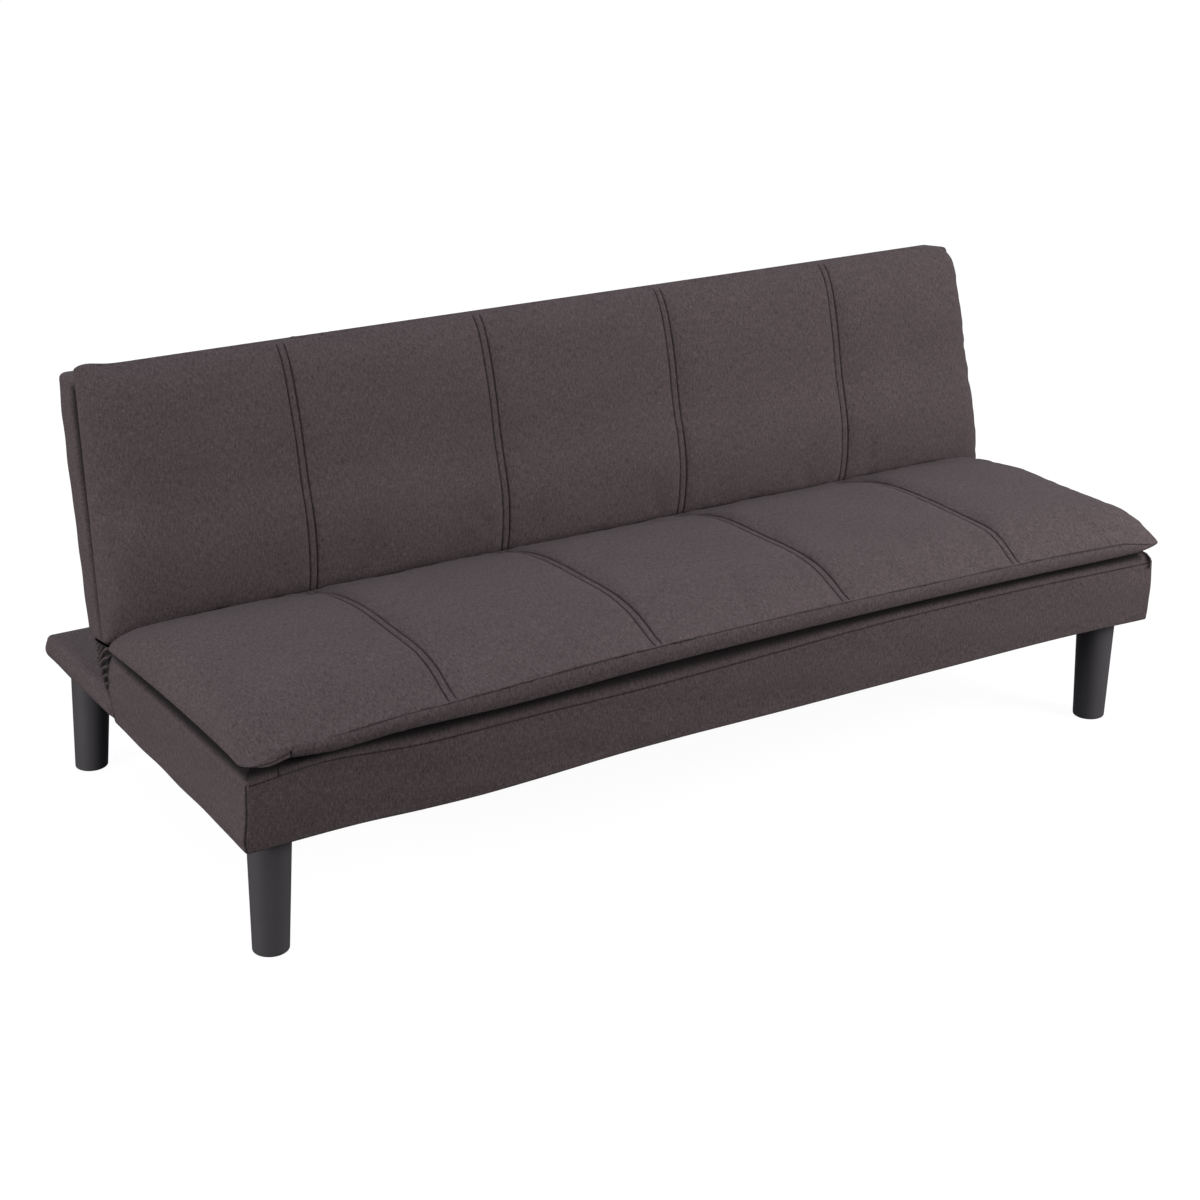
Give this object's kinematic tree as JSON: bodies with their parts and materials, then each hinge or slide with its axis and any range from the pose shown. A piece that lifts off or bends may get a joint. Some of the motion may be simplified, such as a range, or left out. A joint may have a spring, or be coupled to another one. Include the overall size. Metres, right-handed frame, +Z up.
{
  "type": "click clack sofa bed",
  "caption": "Armless click clack sofa bed: channelled seat and back cushions on a boxed frame, whose back clicks down flat over a rear ledge.",
  "frame": {"origin": "on the floor under the middle of the whole sofa, with its back upright", "axes": "+X along the sofa to the right of someone facing its front, +Y from the front to the rear, +Z up"},
  "size_m": [1.692, 0.846, 0.75],
  "materials": {
    "taupe_cloth": "matte woven upholstery cloth, dark taupe",
    "black_cloth": "matte thin non-woven cloth",
    "foam": "matte open-cell foam and wadding",
    "pine": "matte sawn pine",
    "plywood": "matte plywood",
    "webbing": "matte elastic webbing",
    "black_plastic": "satin",
    "zinc_steel": "satin zinc plate",
    "spring_steel": "satin"
  },
  "bodies": {
    "base": {"front_leg_left": "black_plastic", "front_leg_right": "black_plastic", "rear_leg_left": "black_plastic", "rear_leg_right": "black_plastic", "front_leg_bolt_left": "zinc_steel", "front_leg_bolt_right": "zinc_steel", "rear_leg_bolt_left": "zinc_steel", "rear_leg_bolt_right": "zinc_steel", "front_corner_block_left": "pine", "front_corner_block_right": "pine", "rear_corner_block_left": "pine", "rear_corner_block_right": "pine", "seat_front_rail": "pine", "base_side_board_left": "plywood", "base_side_board_right": "plywood", "seat_rear_rail": "pine", "seat_bearer_1": "pine", "seat_bearer_2": "pine", "ledge_rear_rail": "pine", "ledge_bearer_1": "pine", "ledge_bearer_2": "pine", "ledge_panel": "plywood", "ledge_wadding": "foam", "seat_webbing": "webbing", "seat_box_cover": "taupe_cloth", "seat_foam_slab": "foam", "seat_cushion": "taupe_cloth", "ledge_cover": "taupe_cloth", "underside_dust_cover": "black_cloth", "hinge_seat_leaf_left": "zinc_steel", "hinge_seat_leaf_right": "zinc_steel", "hinge_pivot_rivet_left": "zinc_steel", "hinge_pivot_rivet_right": "zinc_steel", "seat_leaf_bolt_left_1": "zinc_steel", "seat_leaf_bolt_left_2": "zinc_steel", "seat_leaf_bolt_right_1": "zinc_steel", "seat_leaf_bolt_right_2": "zinc_steel", "rear_gusset": "taupe_cloth"},
    "back": {"back_side_rail_left": "pine", "back_side_rail_right": "pine", "back_top_rail": "pine", "back_bottom_rail": "pine", "back_upright_1": "pine", "back_upright_2": "pine", "back_wadding": "foam", "back_webbing": "webbing", "back_board_cover": "taupe_cloth", "back_cushion": "taupe_cloth", "hinge_back_leaf_left": "zinc_steel", "hinge_back_leaf_right": "zinc_steel", "hinge_pawl_pin_left": "zinc_steel", "hinge_pawl_pin_right": "zinc_steel", "hinge_spring_left": "spring_steel", "hinge_spring_right": "spring_steel", "back_leaf_bolt_left_1": "zinc_steel", "back_leaf_bolt_left_2": "zinc_steel", "back_leaf_bolt_right_1": "zinc_steel", "back_leaf_bolt_right_2": "zinc_steel"},
    "pawl_left": {"hinge_pawl_left": "spring_steel"},
    "pawl_right": {"hinge_pawl_right": "spring_steel"}
  },
  "joints": [
    {"name": "back_recline", "type": "hinge", "parent": "base", "child": "back", "pos_m": [0, 0.104, 0.311], "axis": [-1, 0, 0], "range_deg": [-6, 83], "deforming": ["rear_gusset"]},
    {"name": "pawl_left_lift", "type": "hinge", "parent": "back", "child": "pawl_left", "pos_m": [-0.8079, 0.13397, 0.34255], "axis": [1, 0, 0], "range_deg": [-6, 0], "stiffness_Nm_per_rad": 0.2, "springref_deg": -11.46},
    {"name": "pawl_right_lift", "type": "hinge", "parent": "back", "child": "pawl_right", "pos_m": [0.8079, 0.13397, 0.34255], "axis": [1, 0, 0], "range_deg": [-6, 0], "stiffness_Nm_per_rad": 0.2, "springref_deg": -11.46}
  ]
}
